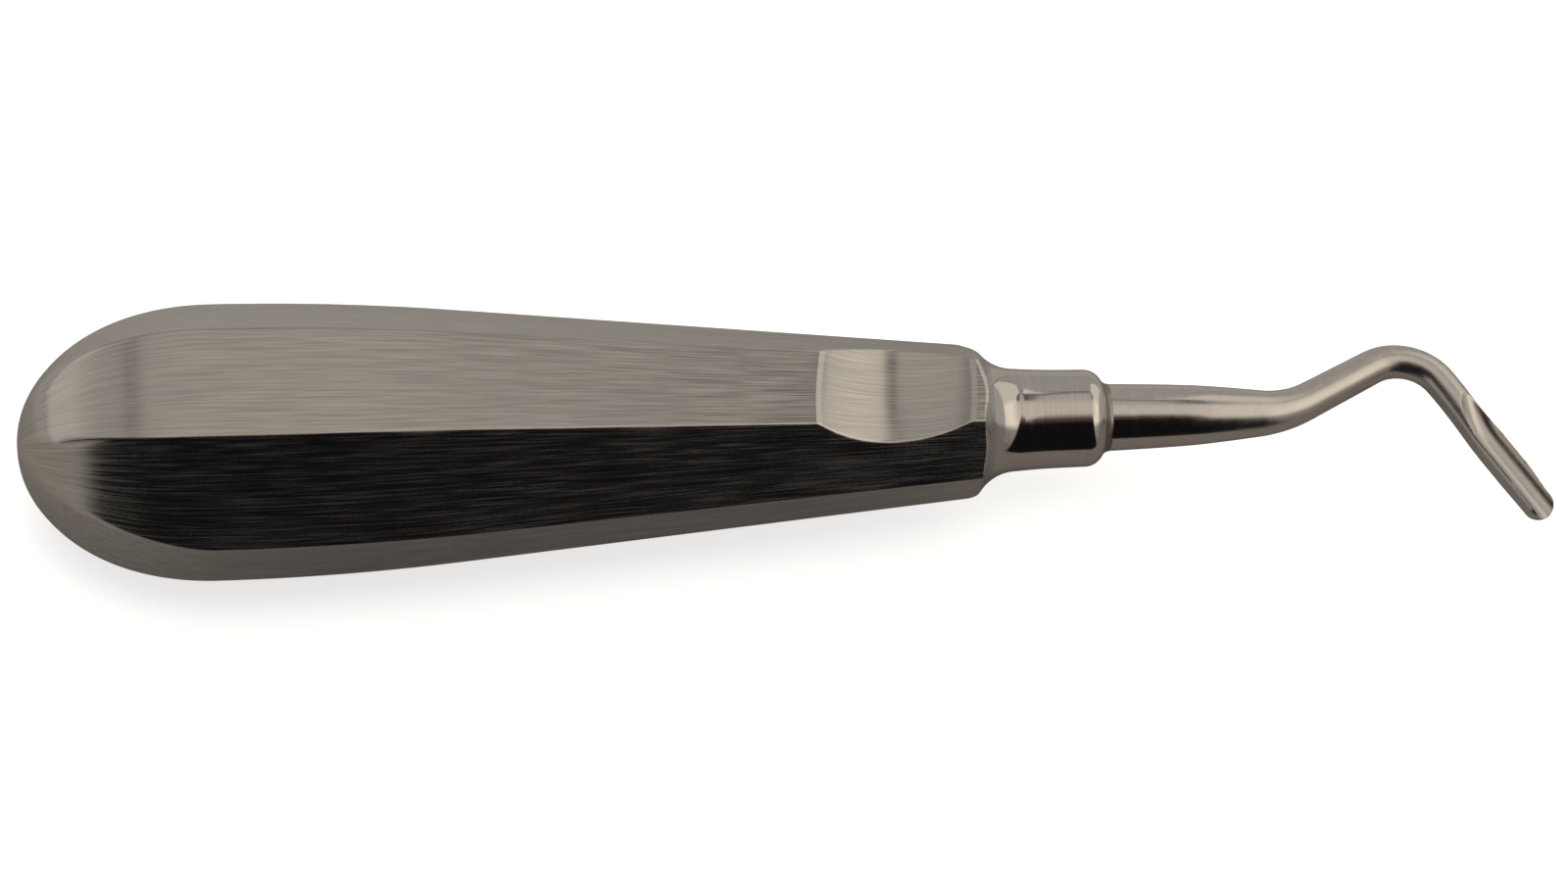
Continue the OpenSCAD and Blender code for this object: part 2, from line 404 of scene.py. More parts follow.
# least share of the half thickness that the strokes follow at the butt's end
LEAST_CLOSING = 0.12


@dataclass(frozen=True)
class SteelFinish:
    """A ground or polished steel surface with its tool marks."""

    name: str
    slot: str
    colour: Triple
    roughness: float
    marks: Mark = Mark.NONE
    spread_across: float = 0.0
    streak_depth: float = 0.0
    streak_fineness: float = 1.0
    tone_change: float = 0.06
    roughness_change: float = 0.05
    pits: float = 0.0
    stain: float = 0.0
    stain_colour: Triple = (0.3, 0.22, 0.14)
    rise_limit: float = 0.72
    mean_half: float = 10.0
    satin: float = 0.0
    satin_from: float = 3.0
    satin_to: float = 22.0
    marks_across: float = 5200.0
    marks_along: float = 90.0
    broad_fineness: float = 0.55
    fine_share: float = 0.7
    cloud_scale: float = 160.0
    pit_scale: float = 420.0
    pit_colour: Triple = (0.08, 0.07, 0.065)

    @staticmethod
    def handle_half(nodes: Nodes, x: bpy.types.NodeSocket) -> bpy.types.NodeSocket:
        """Follows half the handle's thickness, in metres, as the flats do.

        Args:
            nodes: The material's tree.
            x: Place along the axis, in metres.

        Returns:
            The half thickness.
        """
        flats = TOP_FLATS
        ahead = nodes.minus(x, Handle.belly_x * MM)
        swell = nodes.math("MAXIMUM", ahead, 0.0)
        straight = nodes.math("MAXIMUM", nodes.minus(swell, TAPER_RUN * MM), 0.0)
        drop = nodes.minus(nodes.times(swell, swell),
                          nodes.times(straight, straight))
        half = nodes.minus(flats.belly * MM, nodes.math("DIVIDE", drop, 2 * Handle.belly_r * MM))
        butt = (Handle.belly_x - Handle.butt_x) * MM
        back = nodes.math("DIVIDE", nodes.times(ahead, -1.0), butt, clamp=True)
        closing = nodes.minus(1.0, nodes.math("POWER", back, flats.end_start))
        closing = nodes.math("MAXIMUM", nodes.math("POWER", closing, 1 / flats.end_round), LEAST_CLOSING)
        return nodes.times(half, closing)

    def streaks(self, nodes: Nodes, coords: bpy.types.NodeSocket,
                fineness: float) -> bpy.types.NodeSocket:
        """Makes a noise that is drawn out along the tool marks.

        Args:
            nodes: The material's tree.
            coords: Object coordinates.
            fineness: Times the usual number of marks.

        Returns:
            The noise, between 0 and 1.
        """
        mapping = nodes.add("ShaderNodeMapping")
        across = self.marks_across * fineness
        along = self.marks_along * fineness
        if self.marks is Mark.LENGTHWISE:
            # strokes follow the swell and taper of the flats
            axes = nodes.add("ShaderNodeSeparateXYZ")
            nodes.link(coords, axes.inputs[0])
            reach = self.handle_half(nodes, axes.outputs[0])
            rise = nodes.math("DIVIDE", axes.outputs[2], reach)
            rise = nodes.math("MINIMUM", rise, self.rise_limit)
            rise = nodes.math("MAXIMUM", rise, -self.rise_limit)
            fan = nodes.add("ShaderNodeCombineXYZ")
            nodes.link(axes.outputs[0], fan.inputs[0])
            nodes.link(nodes.math("DIVIDE", axes.outputs[1], reach), fan.inputs[1])
            nodes.link(rise, fan.inputs[2])
            coords = fan.outputs[0]
            fanned = across * self.mean_half * MM
            mapping.inputs["Scale"].default_value = (along, fanned, fanned)
        elif self.marks is Mark.ROUND:
            mapping.inputs["Scale"].default_value = (across, along, along)
        else:
            mapping.inputs["Scale"].default_value = (across / 4, across / 4, across / 4)
        nodes.link(coords, mapping.inputs["Vector"])
        noise = nodes.add("ShaderNodeTexNoise")
        nodes.link(mapping.outputs[0], noise.inputs["Vector"])
        noise.inputs["Scale"].default_value = 1.0
        noise.inputs["Detail"].default_value = 1.0
        noise.inputs["Roughness"].default_value = 0.62
        return noise.outputs[0]

    def build(self) -> bpy.types.Material:
        """Builds the material.

        Returns:
            The material.
        """
        material, nodes = new_material(self.name)
        coords = nodes.add("ShaderNodeTexCoord").outputs["Object"]
        shader = nodes.add("ShaderNodeBsdfPrincipled")
        nodes.finish("ShaderNodeOutputMaterial", shader.outputs[0])
        shader.inputs["Metallic"].default_value = 1.0

        fine = self.streaks(nodes, coords, self.streak_fineness)
        broad = self.streaks(nodes, coords, self.streak_fineness * self.broad_fineness)
        cloud = nodes.add("ShaderNodeTexNoise")
        nodes.link(coords, cloud.inputs["Vector"])
        cloud.inputs["Scale"].default_value = self.cloud_scale
        cloud.inputs["Detail"].default_value = 4.0

        wear = nodes.plus(nodes.times(fine, self.fine_share),
                          nodes.times(broad, 1 - self.fine_share))
        dark = tuple(part * (1 - self.tone_change) for part in self.colour)
        light = tuple(min(1.0, part * (1 + self.tone_change)) for part in self.colour)
        tone = nodes.mix(nodes.ramp(wear, 0.36, 0.64), dark, light)
        height = wear
        if self.stain > 0:
            patch = nodes.ramp(cloud.outputs[0], 0.5, 0.72, 0.0, self.stain)
            tone = nodes.mix(patch, tone, self.stain_colour)
        if self.pits > 0:
            cells = nodes.add("ShaderNodeTexVoronoi", feature="F1")
            nodes.link(coords, cells.inputs["Vector"])
            cells.inputs["Scale"].default_value = self.pit_scale
            cells.inputs["Randomness"].default_value = 1.0
            near = nodes.ramp(cells.outputs["Distance"], 0.03, 0.075, 1.0, 0.0)
            separate = nodes.add("ShaderNodeSeparateColor")
            nodes.link(cells.outputs["Color"], separate.inputs[0])
            some = nodes.math("LESS_THAN", separate.outputs[0], self.pits)
            pit = nodes.times(near, some)
            tone = nodes.mix(nodes.times(pit, 0.7), tone, self.pit_colour)
            height = nodes.minus(height, nodes.times(pit, 1.2))
        nodes.link(tone, shader.inputs["Base Color"])
        uneven = nodes.plus(nodes.times(fine, 0.75),
                            nodes.times(cloud.outputs[0], 0.25))
        rough = nodes.ramp(
            uneven, 0.38, 0.66,
            self.roughness - self.roughness_change, self.roughness + self.roughness_change,
        )
        if self.satin > 0:
            axes = nodes.add("ShaderNodeSeparateXYZ")
            nodes.link(coords, axes.inputs[0])
            matt = nodes.ramp(axes.outputs[0], self.satin_from * MM, self.satin_to * MM, 0.0, self.satin)
            rough = nodes.plus(rough, matt)
        nodes.link(rough, shader.inputs["Roughness"])

        if self.streak_depth > 0:
            bump = nodes.add("ShaderNodeBump")
            bump.inputs["Strength"].default_value = 1.0
            bump.inputs["Distance"].default_value = self.streak_depth * MM
            nodes.link(height, bump.inputs["Height"])
            nodes.link(bump.outputs[0], shader.inputs["Normal"])
        if self.marks is not Mark.NONE:
            shader.inputs["Anisotropic"].default_value = self.spread_across
            normal = nodes.add("ShaderNodeNewGeometry").outputs["Normal"]
            along = nodes.add("ShaderNodeCombineXYZ")
            along.inputs[0].default_value = 1.0
            direction = along.outputs[0]
            if self.marks is Mark.LENGTHWISE:
                cross = nodes.add("ShaderNodeVectorMath", operation="CROSS_PRODUCT")
                nodes.link(normal, cross.inputs[0])
                nodes.link(direction, cross.inputs[1])
                direction = cross.outputs[0]
            nodes.link(direction, shader.inputs["Tangent"])
        return material


HANDLE_BRUSHED = SteelFinish(
    name="handle_brushed", slot="handle_steel", colour=(0.62, 0.605, 0.585), roughness=0.22,
    marks=Mark.LENGTHWISE, spread_across=0.8, streak_depth=0.0022, streak_fineness=1.55,
    tone_change=0.15, roughness_change=0.07, pits=0.035,
)
WELD_GROUND = replace(HANDLE_BRUSHED, name="weld_ground", slot="weld_steel", pits=0.0)
RING_WELD_TURNED = SteelFinish(
    name="ring_weld_turned", slot="weld_steel", colour=(0.62, 0.605, 0.585), roughness=0.22,
    marks=Mark.ROUND, spread_across=0.3, streak_depth=0.0008, tone_change=0.05,
    roughness_change=0.03,
)
FERRULE_TURNED = SteelFinish(
    name="ferrule_turned", slot="ferrule_steel", colour=(0.72, 0.7, 0.67), roughness=0.08,
    marks=Mark.ROUND, spread_across=0.35, streak_depth=0.0003, streak_fineness=1.4,
    tone_change=0.04, roughness_change=0.02,
)
BRAZE = SteelFinish(
    name="braze", slot="braze_metal", colour=(0.36, 0.335, 0.3), roughness=0.24,
    streak_depth=0.002, tone_change=0.1, roughness_change=0.05, stain=0.7,
    stain_colour=(0.16, 0.1, 0.06),
)
SHANK_POLISHED = SteelFinish(
    name="shank_polished", slot="shank_steel", colour=(0.73, 0.71, 0.68), roughness=0.1,
    streak_depth=0.0003, tone_change=0.03, roughness_change=0.02, satin=0.18,
)


# -------------------------------------------------------------------- handle


@dataclass
class Handle:
    """Hollow faceted handle: two shells and the seam weld between them."""

    butt_x: float = -105.0
    belly_x: float = -86.3
    neck_x: float = -11.498
    belly_r: float = 260.0
    facet_angle: float = 50.0
    top: Flats = TOP_FLATS
    side: Flats = Flats(13.25, 7.2, 1.84, 1.82)
    slant: Flats = Flats(12.25, 6.8, 2.31, 2.16)
    edge_r: float = 0.45
    butt_edge_r: float = 5.5
    wall: float = 1.2
    collar_r: float = 5.0
    fillet_x: float = -8.6
    fillet_r: float = 4.7
    neck_blend: float = 0.3
    neck_far_blend: float = 1.0
    rim_r: float = 6.4
    seat_x: float = -12.4
    flange_r: float = 6.0
    flange_x: float = -12.8
    bore_r: float = 4.05
    cavity_x: float = -16.0
    dish_len: float = 15.2
    dish_depth: float = 1.7
    dish_x: float = -21.1
    dish_skew: float = 6.0
    dish_crown_r: float = 76.0
    dish_edge: float = 0.16
    seam_half: float = 0.4
    corner_steps: int = 6

    def slope(self, flats: Flats, inset: float) -> float:
        """Slope of a flat's straight stretch, in radians.

        Args:
            flats: The pair of flats.
            inset: Distance inwards of a parallel wall; not used.

        Returns:
            The angle between the flat and the axis.
        """
        run = self.neck_x - self.belly_x
        drop = flats.neck - flats.belly + self.belly_r
        return math.atan2(run, drop) - math.acos(self.belly_r / math.hypot(run, drop))

    def half_size(self, flats: Flats, x: float, inset: float = 0.0) -> float:
        """Half the distance between two opposite flats.

        Args:
            flats: The pair of flats.
            x: Place along the axis.
            inset: Distance inwards of a parallel wall.

        Returns:
            The half size.
        """
        belly = flats.belly - inset
        if x < self.belly_x:
            t = min(1.0, (self.belly_x - x) / (self.belly_x - self.butt_x - inset))
            return belly * max(0.0, 1 - t ** flats.end_start) ** (1 / flats.end_round)
        slope = self.slope(flats, inset)
        taper_x = self.belly_x + self.belly_r * math.sin(slope)
        if x < taper_x:
            return belly - self.belly_r + math.sqrt(self.belly_r ** 2 - (x - self.belly_x) ** 2)
        taper_half = belly - self.belly_r + self.belly_r * math.cos(slope)
        return taper_half - (x - taper_x) * math.tan(slope)

    def section(self, x: float, inset: float = 0.0) -> Section:
        """Outline of the faceted form at one place, with rounded edges.

        Args:
            x: Place along the axis.
            inset: Distance inwards of a parallel wall.

        Returns:
            Points in Y and Z, round from the top flat by way of +Y.
        """
        top, slant, side = (self.half_size(f, x, inset) for f in (self.top, self.slant, self.side))
        turn = self.facet_angle
        flats = [
            (0.0, top, 20), (turn, slant, 34), (90.0, side, 12), (180 - turn, slant, 14),
            (180.0, top, 10), (180 + turn, slant, 14), (270.0, side, 12), (360 - turn, slant, 34),
        ]
        t = min(1.0, max(0.0, (self.belly_x - x) / (self.belly_x - self.butt_x)))
        edge_r = self.edge_r + (self.butt_edge_r - self.edge_r) * t ** 4
        edge_r = min(edge_r, 0.45 * min(top, slant, side))
        corners = []
        for i, (angle, half, _) in enumerate(flats):
            next_angle, next_half, _ = flats[(i + 1) % len(flats)]
            if i == len(flats) - 1:
                next_angle += 360
            a, b = math.radians(angle), math.radians(next_angle)
            first, second = half - edge_r, next_half - edge_r
            sine = math.sin(b - a)
            centre = (
                (second * math.cos(a) - first * math.cos(b)) / sine,
                (first * math.sin(b) - second * math.sin(a)) / sine,
            )
            corners.append(arc(centre, edge_r, 90 - angle, 90 - next_angle, self.corner_steps))
        points: Section = []
        for i, (_, _, count) in enumerate(flats):
            start, end = corners[i - 1][-1], corners[i][0]
            for k in range(1, count + 1):
                t = k / (count + 1)
                if count > 20:
                    t = t ** 1.5 if i == 1 else 1 - (1 - t) ** 1.5
                points.append((start[0] + (end[0] - start[0]) * t, start[1] + (end[1] - start[1]) * t))
            points.extend(corners[i])
        return points

    def dish_height(self, x: float, y: float, extra: float) -> Optional[float]:
        """Height of the thumb rest's cylinder.

        Args:
            x: Place along the axis.
            y: Place across.
            extra: Metal kept under the thumb rest.

        Returns:
            The height, or None outside the cylinder.
        """
        slope = self.slope(self.top, 0.0)
        radius = ((self.dish_len / 2) ** 2 + self.dish_depth ** 2) / (2 * self.dish_depth)
        lift = radius - self.dish_depth
        chord = self.top.neck - (self.dish_x - self.neck_x) * math.tan(slope)
        skew = math.radians(self.dish_skew)
        across = (x - self.dish_x - lift * math.sin(slope)) * math.cos(skew) - y * math.sin(skew)
        radius += extra
        if abs(across) >= radius * 0.8:
            return None
        crown = y * y / (2 * self.dish_crown_r)
        return chord + lift * math.cos(slope) - math.sqrt(radius ** 2 - across ** 2) + crown

    def outside(self, x: float) -> Section:
        """Outline of the handle's outside with thumb rest and turned neck.

        Args:
            x: Place along the axis.

        Returns:
            Points in Y and Z.
        """
        points = []
        past = x - (self.fillet_x - self.fillet_r)
        rim_x = self.rim_x()
        for y, z in self.section(x):
            if z > 0 and self.dish_x - self.dish_len < x:
                height = self.dish_height(x, y, 0.0)
                if height is not None:
                    z = smooth_min(z, height, self.dish_edge)
            if past > -1.5:
                over = min(max(0.0, self.fillet_x - x), 0.86 * self.fillet_r)
                neck = self.collar_r + self.fillet_r - math.sqrt(self.fillet_r ** 2 - over ** 2)
                away = ease(max(y, -2 * z) / 5)
                neck += (5.0 - 3.9 * away) * max(0.0, self.fillet_x - x - over)
                blend = self.neck_blend * ease((rim_x - x) / 0.4)
                blend += self.neck_far_blend * away * ease((rim_x - x) / 1.5)
                reach = math.hypot(y, z)
                share = smooth_min(reach, neck, blend) / reach
                y, z = y * share, z * share
            points.append((y, z))
        return points

    def inside(self, x: float) -> Section:
        """Outline of the hollow, kept a wall away from the thumb rest.

        Args:
            x: Place along the axis.

        Returns:
            Points in Y and Z.
        """
        points = []
        for y, z in self.section(x, self.wall):
            if z > 0 and self.dish_x - self.dish_len < x:
                height = self.dish_height(x, y, self.wall)
                if height is not None:
                    z = min(z, max(height, 0.0))
            points.append((y, z))
        return points

    def rim_x(self) -> float:
        """Place where the shells end in the neck's fillet."""
        rise = self.collar_r + self.fillet_r - self.rim_r
        return self.fillet_x - math.sqrt(self.fillet_r ** 2 - rise ** 2)

    def rows(self) -> list[tuple[float, Section]]:
        """Lists the sections of the hollow handle, outside first.

        Returns:
            Place and outline of each row, from the butt's outer pole by way
            of the neck and the bore to the hollow's pole.
        """
        length = self.belly_x - self.butt_x
        turns = 46
        places = [self.belly_x - length * math.cos(math.pi / 2 * i / turns) for i in range(turns)]
        dish_back = self.dish_x - self.dish_len / 2
        dish_front = self.dish_x + self.dish_len / 2
        neck_start = self.fillet_x - self.fillet_r
        places += spread(self.belly_x, dish_back - 1.2, 1.6)
        places += spread(dish_back - 1.2, dish_back + 1.2, 0.07)
        places += spread(dish_back + 1.2, dish_front - 1.0, 0.2)
        places += spread(dish_front - 1.0, neck_start, 0.06)
        places += spread(neck_start, self.rim_x(), 0.05)
        places.append(self.rim_x())
        rows = [(x, self.outside(x)) for x in places]
        shape = rows[-1][1]

        def circle(radius: float) -> Section:
            """Scales the rim's points to a circle."""
            return [(y * radius / math.hypot(y, z), z * radius / math.hypot(y, z)) for y, z in shape]

        rows += [
            (self.rim_x(), circle(self.rim_r)), (self.seat_x, circle(self.rim_r)),
            (self.seat_x, circle(self.flange_r)), (self.flange_x, circle(self.flange_r)),
            (self.flange_x, circle(self.bore_r)), (self.cavity_x, circle(self.bore_r)),
        ]
        hollow = spread(self.cavity_x, self.belly_x, 1.5)
        inner = length - self.wall
        hollow += [self.belly_x - inner * math.sin(math.pi / 2 * i / 24) for i in range(25)]
        rows += [(x, self.inside(x)) for x in hollow]
        return rows

    def hollow_form(self) -> bmesh.types.BMesh:
        """Builds the whole hollow handle before it is parted."""
        rows = self.rows()
        return wrap_grid(
            len(rows) - 1, len(rows[0][1]),
            lambda row, column: Vector((rows[row][0], *rows[row][1][column])),
        )

    def build(self) -> None:
        """Builds and dresses both shells and the seam weld."""
        whole = self.hollow_form()
        upper, lower, seam = whole, whole.copy(), whole.copy()
        slice_off(upper, self.seam_half, keep_above=True)
        slice_off(lower, -self.seam_half, keep_above=False)
        slice_off(seam, self.seam_half, keep_above=False)
        slice_off(seam, -self.seam_half, keep_above=True)
        finish(make_piece("upper_shell", upper), HANDLE_BRUSHED, "handle_shell_upper")
        finish(make_piece("lower_shell", lower), HANDLE_BRUSHED, "handle_shell_lower")
        finish(make_piece("ground_seam", seam), WELD_GROUND, "shell_seam_weld")


# ------------------------------------------------------------------- ferrule


@dataclass
class Ferrule:
    """Turned ferrule with its ring weld behind and the braze in its mouth."""

    collar_len: float = 8.6
    collar_rear_r: float = 5.0
    collar_front_r: float = 4.75
    fillet_r: float = 4.7
    mouth_r: float = 1.9
    flange_r: float = 6.0
    flange_len: float = 1.3
    ring_weld_r: float = 6.4
    ring_seat_x: float = -12.4
    spigot_r: float = 4.0
    spigot_len: float = 12.0
    bore_r: float = 2.45
    seat_r: float = 3.35
    seat_x: float = -5.05
    well_depth: float = 1.2
    root_r: float = 3.3
    braze_r: float = 1.0
    braze_end: float = 84.0
    braze_steps: int = 16
    flare_straight: float = 0.35
    flare_steps: int = 24
    steps: int = 192

    def fillet_angle(self, radius: float) -> float:
        """Angle at which the neck's fillet reaches a radius, in degrees."""
        rise = self.collar_rear_r + self.fillet_r - radius
        return 180 + math.degrees(math.asin(rise / self.fillet_r))

    def braze_centre(self) -> Point2:
        """Centre of the braze fillet, which touches mouth and root."""
        out = self.root_r + self.braze_r - (self.collar_front_r - self.mouth_r)
        reach = self.mouth_r + self.braze_r
        return (-self.mouth_r + math.sqrt(reach ** 2 - out ** 2), self.root_r + self.braze_r)

    def well_r(self) -> float:
        """Radius of the braze's well in the mouth."""
        centre = self.braze_centre()
        hub = self.collar_front_r - self.mouth_r
        return hub + (centre[1] - hub) * self.mouth_r / (self.mouth_r + self.braze_r) - 0.1

    def body_outline(self) -> Section:
        """Closed outline of the ferrule."""
        hub = (-self.mouth_r, self.collar_front_r - self.mouth_r)
        mouth_start = math.degrees(math.asin((self.well_r() - hub[1]) / self.mouth_r))
        centre = (-self.collar_len, self.collar_rear_r + self.fillet_r)
        fillet = arc(centre, self.fillet_r, 270, self.fillet_angle(self.flange_r), 40)
        rear = fillet[-1][0] - self.flange_len
        end = rear - self.spigot_len
        outline = arc(hub, self.mouth_r, mouth_start, 90, 28)
        run = self.collar_len - self.mouth_r
        swell = self.collar_rear_r - self.collar_front_r
        for i in range(1, self.flare_steps):
            t = i / self.flare_steps
            share = self.flare_straight * t + (1 - self.flare_straight) * t ** 3
            outline.append((-self.mouth_r - run * t, self.collar_front_r + swell * share))
        outline += fillet
        outline += [
            (rear, self.flange_r), (rear, self.spigot_r), (end, self.spigot_r), (end, self.bore_r),
            (self.seat_x, self.bore_r), (self.seat_x, self.seat_r),
            (-self.well_depth, self.seat_r), (-self.well_depth, self.well_r()),
        ]
        return outline

    def weld_outline(self) -> Section:
        """Closed outline of the ring weld."""
        centre = (-self.collar_len, self.collar_rear_r + self.fillet_r)
        outline = arc(centre, self.fillet_r, self.fillet_angle(self.flange_r),
                      self.fillet_angle(self.ring_weld_r), 8)
        return outline + [(self.ring_seat_x, self.ring_weld_r), (self.ring_seat_x, self.flange_r)]

    def braze_outline(self) -> Section:
        """Closed outline of the braze in its well."""
        cx, cr = self.braze_centre()
        well = self.well_r()
        first = math.degrees(math.asin((cr - well) / self.braze_r))
        steps = self.braze_steps
        turns = [math.radians(first + (self.braze_end - first) * i / steps) for i in range(steps + 1)]
        curve = [(cx - self.braze_r * math.cos(a), cr - self.braze_r * math.sin(a)) for a in turns]
        return curve + [(curve[-1][0], self.root_r), (-self.well_depth, self.root_r),
                        (-self.well_depth, well)]

    def build(self) -> None:
        """Builds and dresses the ferrule, its ring weld and the braze."""
        body = turn_outline(self.body_outline(), self.steps)
        finish(make_piece("turned_ferrule", body), FERRULE_TURNED, "ferrule")
        weld = turn_outline(self.weld_outline(), self.steps)
        finish(make_piece("ring_weld", weld), RING_WELD_TURNED, "ferrule_weld")
        braze = turn_outline(self.braze_outline(), self.steps)
        finish(make_piece("mouth_braze", braze), BRAZE, "braze_ring")


# --------------------------------------------------------------------- shank


@dataclass
class Shank:
    """One forging: tang, root, two bends and the fluted blade."""

    tang_r: float = 2.4
    tang_len: float = 15.0
    root_seat: float = 5.0
    bend1_ahead: float = 18.2
    bend1_r: float = 11.26
    rise: float = 27.34
    limb_len: float = 14.97
    bend2_r: float = 4.9
    fall: float = 59.31
    blade_len: float = 22.15
    tip_r: float = 1.55
    flute_len: float = 14.8
    flute_half: float = 1.4
    flute_depth: float = 1.0
    blade_spread: float = 0.08
    flute_turn: float = 18.0
    bulge: float = 0.26
    bulge_ahead: float = 16.2
    bulge_half: float = 7.0
    flute_edge: float = 0.12
    lip: float = 0.02
    runout_len: float = 5.8
    around: int = 144
    radii: list[Point2] = field(default_factory=lambda: [
        (-5.0, 3.3), (0.0, 3.28), (3.0, 3.2), (6.0, 3.09), (9.0, 2.94), (12.0, 2.68), (15.0, 2.36),
        (18.0, 2.03), (21.0, 1.82), (25.0, 1.76), (29.0, 1.7), (33.0, 1.63), (37.0, 1.59),
        (40.5, 1.56), (45.0, 1.63), (48.0, 1.62), (51.5, 1.55),
    ])

    def __post_init__(self) -> None:
        """Works out where each stretch of the centreline starts."""
        first, second = math.radians(self.rise), math.radians(self.rise + self.fall)
        tangent1 = self.bend1_r * math.tan(first / 2)
        tangent2 = self.bend2_r * math.tan(second / 2)
        self.s1 = self.bend1_ahead - tangent1
        self.s2 = self.s1 + self.bend1_r * first
        self.s3 = self.s2 + self.limb_len - tangent1 - tangent2
        self.s4 = self.s3 + self.bend2_r * second
        self.tip_s = self.s4 + self.blade_len - tangent2

    def centreline(self, s: float) -> tuple[Vector, float]:
        """Place and heading on the centreline.

        Args:
            s: Distance along it from the mouth.

        Returns:
            The point, and the heading from +X towards +Y in radians.
        """
        rise = math.radians(self.rise)
        if s <= self.s1:
            return Vector((s, 0, 0)), 0.0
        heading = min(s - self.s1, self.s2 - self.s1) / self.bend1_r
        point = Vector((self.s1 + self.bend1_r * math.sin(heading),
                        self.bend1_r * (1 - math.cos(heading)), 0))
        if s <= self.s2:
            return point, heading
        along = Vector((math.cos(rise), math.sin(rise), 0))
        point = point + along * (min(s, self.s3) - self.s2)
        if s <= self.s3:
            return point, rise
        turned = min(s - self.s3, self.s4 - self.s3) / self.bend2_r
        hub = point + Vector((math.sin(rise), -math.cos(rise), 0)) * self.bend2_r
        heading = rise - turned
        point = hub + Vector((-math.sin(heading), math.cos(heading), 0)) * self.bend2_r
        if s > self.s4:
            point = point + Vector((math.cos(heading), math.sin(heading), 0)) * (s - self.s4)
        return point, heading

    def rows(self) -> list[tuple[float, float]]:
        """Lists the distance along the centreline and the radius of each row."""
        tang_end = -self.root_seat - self.tang_len
        rows = [(tang_end, 0.0), (tang_end, self.tang_r), (-self.root_seat, self.tang_r),
                (-self.root_seat, self.radii[0][1])]
        flute_s = self.tip_s - self.flute_len
        places = spread(-self.root_seat + 0.5, self.s1, 0.8) + spread(self.s1, flute_s, 0.3)
        hub = self.tip_s - self.tip_r
        places += spread(flute_s, hub, 0.15)
        rows += [(s, through(self.radii, s)) for s in places]
        turns = 22
        rows += [
            (hub + self.tip_r * math.sin(math.pi / 2 * i / turns),
             self.tip_r * math.cos(math.pi / 2 * i / turns))
            for i in range(turns)
        ]
        return rows + [(self.tip_s, 0.0)]

    def flute_height(self, s: float, across: float) -> float:
        """Height of the flute's floor over the rod's axis.

        Args:
            s: Distance along the centreline.
            across: Distance from the flute's middle line.

        Returns:
            The height along the flute's own direction.
        """
        radius = (self.flute_half ** 2 + self.flute_depth ** 2) / (2 * self.flute_depth)
        edge = math.sqrt(self.tip_r ** 2 - self.flute_half ** 2)
        start = self.tip_s - self.flute_len
        climb = 1 - min(1.0, (s - start) / self.runout_len)
        floor = edge - self.flute_depth + (self.tip_r - edge + self.flute_depth + 0.05) * climb ** 2
        return floor + radius - math.sqrt(max(1e-6, radius ** 2 - across ** 2))

    def build(self) -> None:
        """Builds and dresses the forging."""
        rows = self.rows()
        lean = math.radians(self.flute_turn)
        flute_s = self.tip_s - self.flute_len

        def place(row: int, column: int) -> Vector:
            """Place of one point of the skin."""
            s, radius = rows[row]
            point, heading = self.centreline(s)
            outward = Vector((-math.sin(heading), math.cos(heading), 0))
            bulge = 1 - ease(abs(s - self.tip_s + self.bulge_ahead) / self.bulge_half)
            point = point + outward * self.bulge * bulge
            turn = math.tau * column / self.around
            # measured across the flute and along the flute's own direction
            across, height = radius * math.sin(turn), radius * math.cos(turn)
            slim = 1 - 0.75 * ease((s - self.tip_s + 6.0) / 4.5)
            broad = 1 + self.blade_spread * slim * ease((s - flute_s) / self.runout_len)
            across = across * broad + self.tip_r * (broad - 1)
            if s > flute_s and height > -self.tip_r / 2:
                floor = self.flute_height(s, across)
                under = smooth_min(-height, floor, self.flute_edge)
                height = smooth_min(height, floor, self.flute_edge)
                if math.cos(turn) > 0:
                    # past the flute's end both skins meet, so the lip keeps some thickness
                    height = max(height, under + self.lip * math.cos(turn))
            facing = Vector((0, 0, 1)) * math.cos(lean) + outward * math.sin(lean)
            beside = outward * math.cos(lean) - Vector((0, 0, 1)) * math.sin(lean)
            return point + facing * height + beside * across

        bm = wrap_grid(len(rows) - 1, self.around, place)
        finish(make_piece("shank_with_blade", bm), SHANK_POLISHED, "shank_blade")


# ------------------------------------------------------------------- dressing

BUILT: dict[str, bpy.types.Material] = {}


def finish(piece: bpy.types.Object, steel: SteelFinish, node: str) -> None:
    """Dresses a piece and body, and reports it.

    Args:
        piece: The piece.
        steel: Its finish.
        node: The CAD node that it stands for.
    """
    if steel.name not in BUILT:
        BUILT[steel.name] = steel.build()
    piece.data.materials.append(BUILT[steel.name])
    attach(piece, ROOT)
    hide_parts(node)
    low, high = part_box(node)
    size = tuple(round((b - a) / MM, 1) for a, b in zip(low, high))
    LOG.info("%s: %d faces, finish %s, stands for %s of %s mm",
             piece.name, len(piece.data.polygons), steel.name, node, size)


# --------------------------------------------------------------------- studio


